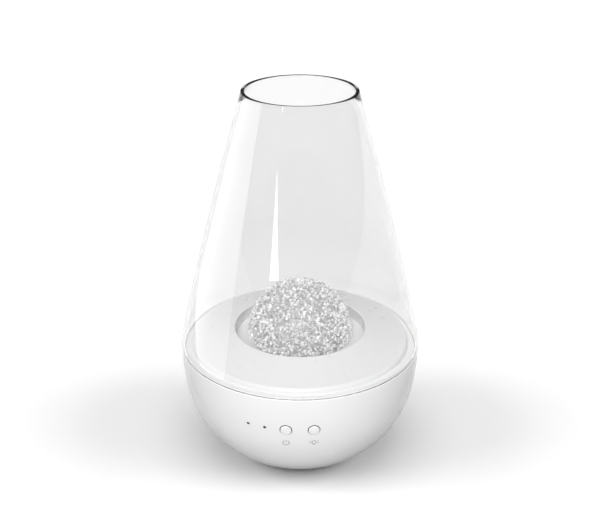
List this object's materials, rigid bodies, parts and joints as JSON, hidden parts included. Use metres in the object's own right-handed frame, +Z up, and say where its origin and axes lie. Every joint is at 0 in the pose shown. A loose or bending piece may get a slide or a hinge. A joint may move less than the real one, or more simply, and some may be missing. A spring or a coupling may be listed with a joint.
{
  "type": "humidifier",
  "caption": "Teardrop ultrasonic cool mist humidifier: glossy bowl base with push buttons, lift-out lid with a crushed-glass dome, and an open-topped clear glass cover.",
  "frame": {"origin": "middle of the underside of the feet, on the axis of the bowl and the glass", "axes": "+Z up, -Y to the front with the buttons, +X to the right seen from the front"},
  "size_m": [0.16, 0.16, 0.25],
  "materials": {
    "clear_glass": "clear, fire-polished mouth",
    "white_gloss": "high gloss",
    "white_lid": "satin gloss",
    "white_inner": "satin moulded",
    "clear_silicone": "translucent silicone",
    "black_rubber": "matte",
    "screw_steel": "zinc plated",
    "mist_disc": "stainless",
    "clear_acrylic": "clear",
    "frosted_acrylic": "frosted",
    "crystal_glass": "crushed clear glass",
    "circuit_board": "solder mask",
    "black_plastic": "moulded",
    "switch_plunger": "moulded",
    "socket_white": "nylon",
    "lamp_white": "phosphor",
    "ferrite": "sintered",
    "capacitor_can": "sleeved can",
    "heat_sink_aluminium": "extruded",
    "jack_brass": "nickel-plated contact",
    "reed_glass": "sealed tube"
  },
  "bodies": {
    "base": {"base_housing": "white_gloss", "tank_support_ring": "white_inner", "air_tube": "white_inner", "water_tank": "white_inner", "air_duct": "white_inner", "float_cap": "white_inner", "bottom_plate": "white_inner", "piezo_retainer": "white_inner", "guide_nut": "white_inner", "glass_seat_ring": "clear_silicone", "tank_seal": "clear_silicone", "piezo_gasket": "clear_silicone", "guide_seal": "clear_silicone", "rubber_feet": "black_rubber", "piezo_lead": "black_rubber", "lamp_lead": "black_rubber", "fan_lead": "black_rubber", "jack_lead": "black_rubber", "bottom_screws": "screw_steel", "tank_screws": "screw_steel", "piezo_screws": "screw_steel", "lamp_screws": "screw_steel", "fan_screws": "screw_steel", "board_screws": "screw_steel", "panel_screws": "screw_steel", "piezo_disc": "mist_disc", "light_guide": "clear_acrylic", "indicator_lenses": "clear_acrylic", "main_board": "circuit_board", "lamp_board": "circuit_board", "button_board": "circuit_board", "fan_frame": "black_plastic", "dc_jack": "black_plastic", "driver_transistor": "black_plastic", "power_switch": "black_plastic", "light_switch": "black_plastic", "board_sockets": "socket_white", "lamp_leds": "lamp_white", "indicator_leds": "lamp_white", "board_inductor": "ferrite", "board_capacitor": "capacitor_can", "heat_sink": "heat_sink_aluminium", "jack_pin": "jack_brass", "jack_nut": "jack_brass", "reed_switch": "reed_glass"},
    "lid": {"reservoir_lid": "white_lid", "light_window": "frosted_acrylic", "splash_baffle": "white_inner"},
    "cover": {"glass_cover": "clear_glass"},
    "crystal": {"crystal_core": "crystal_glass", "crystal_chip_layer": "crystal_glass"},
    "float": {"float_ring": "white_inner", "float_magnet": "ferrite"},
    "fan": {"fan_rotor": "black_plastic"},
    "power_key": {"power_button": "white_gloss", "power_plunger": "switch_plunger"},
    "light_key": {"light_button": "white_gloss", "light_plunger": "switch_plunger"}
  },
  "joints": [
    {"name": "lid_lift", "type": "slide", "parent": "base", "child": "lid", "axis": [0, 0, 1], "range_m": [0, 0.06]},
    {"name": "glass_lift", "type": "slide", "parent": "lid", "child": "cover", "axis": [0, 0, 1], "range_m": [0, 0.12]},
    {"name": "crystal_lift", "type": "slide", "parent": "lid", "child": "crystal", "axis": [0, 0, 1], "range_m": [0, 0.04]},
    {"name": "float_slide", "type": "slide", "parent": "base", "child": "float", "axis": [0, 0, 1], "range_m": [0, 0.008]},
    {"name": "fan_spin", "type": "hinge", "parent": "base", "child": "fan", "pos_m": [0.026, 0.026, 0.022], "axis": [0, 0, 1], "continuous": true},
    {"name": "power_press", "type": "slide", "parent": "base", "child": "power_key", "axis": [0, 0.9893, 0.1461], "range_m": [0, 0.0005], "stiffness_N_per_m": 800},
    {"name": "light_press", "type": "slide", "parent": "base", "child": "light_key", "axis": [0, 0.9893, 0.1461], "range_m": [0, 0.0005], "stiffness_N_per_m": 800}
  ]
}
